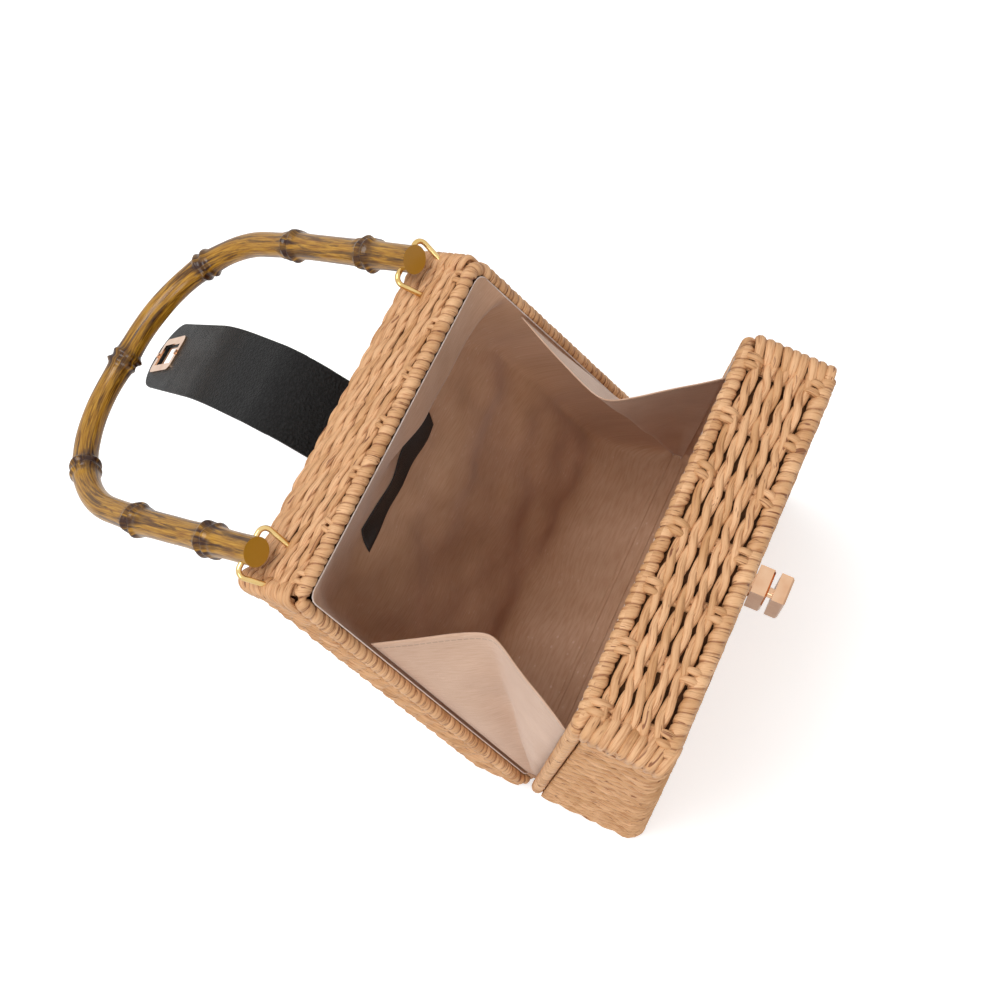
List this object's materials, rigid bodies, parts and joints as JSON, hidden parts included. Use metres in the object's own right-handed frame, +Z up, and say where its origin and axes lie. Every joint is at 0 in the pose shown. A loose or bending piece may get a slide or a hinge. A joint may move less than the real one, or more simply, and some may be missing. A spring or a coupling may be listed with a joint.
{
  "type": "handbag",
  "caption": "Straw box handbag of two woven trays hinged at the base, with cotton lining, bamboo-look horseshoe handle on wire rings, leather strap and turn lock.",
  "frame": {"origin": "middle of the whole bag's footprint box, on the surface it stands on", "axes": "+X along the hinge to the right seen from the front, +Y towards the back panel and the handle, +Z up"},
  "size_m": [0.2, 0.353, 0.2106],
  "materials": {
    "straw": "twisted paper straw, matte with a faint gloss",
    "rim_core": "white paper cord, matte",
    "lining_cotton": "beige pink cotton sateen, soft sheen",
    "label_fabric": "black woven ribbon, bare",
    "bamboo_resin": "moulded bamboo look, ochre with dark brown streaks, glossy",
    "ring_brass": "polished pale gold wire",
    "strap_leather": "black pebbled leather",
    "thread": "black waxed thread",
    "rose_gold": "polished rose gold plating",
    "back_metal": "satin rose gold plating"
  },
  "bodies": {
    "back_half": {"back_shell": "straw", "back_rim": "straw", "back_rim_core": "rim_core", "back_lining": "lining_cotton", "lining_label": "label_fabric", "hinge_lacing": "straw", "gusset_left": "lining_cotton", "gusset_right": "lining_cotton", "strap": "strap_leather", "strap_stitching": "thread", "slot_plate": "rose_gold", "slot_back_plate": "back_metal", "slot_screws": "rose_gold"},
    "front_half": {"front_shell": "straw", "front_rim": "straw", "front_rim_core": "rim_core", "front_top_roll": "straw", "front_lining": "lining_cotton", "lock_base": "rose_gold", "lock_washer": "back_metal"},
    "turn_knob": {"lock_knob": "rose_gold", "lock_spindle": "rose_gold"},
    "ring_left": {"d_ring_left": "ring_brass"},
    "ring_right": {"d_ring_right": "ring_brass"},
    "handle": {"handle": "bamboo_resin"}
  },
  "joints": [
    {"name": "mouth_hinge", "type": "hinge", "parent": "back_half", "child": "front_half", "pos_m": [0, -0.08234, 0.01655], "axis": [1, 0, 0], "range_deg": [-33.7, 6], "deforming": ["gusset_left", "gusset_right", "hinge_lacing"]},
    {"name": "ring_left_swing", "type": "hinge", "parent": "back_half", "child": "ring_left", "pos_m": [-0.0675, 0.00233, 0.19058], "axis": [1, 0, 0], "range_deg": [0, 42]},
    {"name": "ring_right_swing", "type": "hinge", "parent": "back_half", "child": "ring_right", "pos_m": [0.0675, 0.00233, 0.19058], "axis": [1, 0, 0], "range_deg": [0, 42]},
    {"name": "handle_swing", "type": "hinge", "parent": "ring_left", "child": "handle", "pos_m": [-0.0675, 0.01322, 0.20311], "axis": [1, 0, 0], "range_deg": [0, 135]},
    {"name": "lock_turn", "type": "hinge", "parent": "front_half", "child": "turn_knob", "pos_m": [0, -0.16214, 0.16804], "axis": [0, -0.992, -0.1266], "range_deg": [0, 90]}
  ],
  "couplings": [
    {"joint": "ring_right_swing", "follows": "ring_left_swing", "ratio": 1}
  ]
}
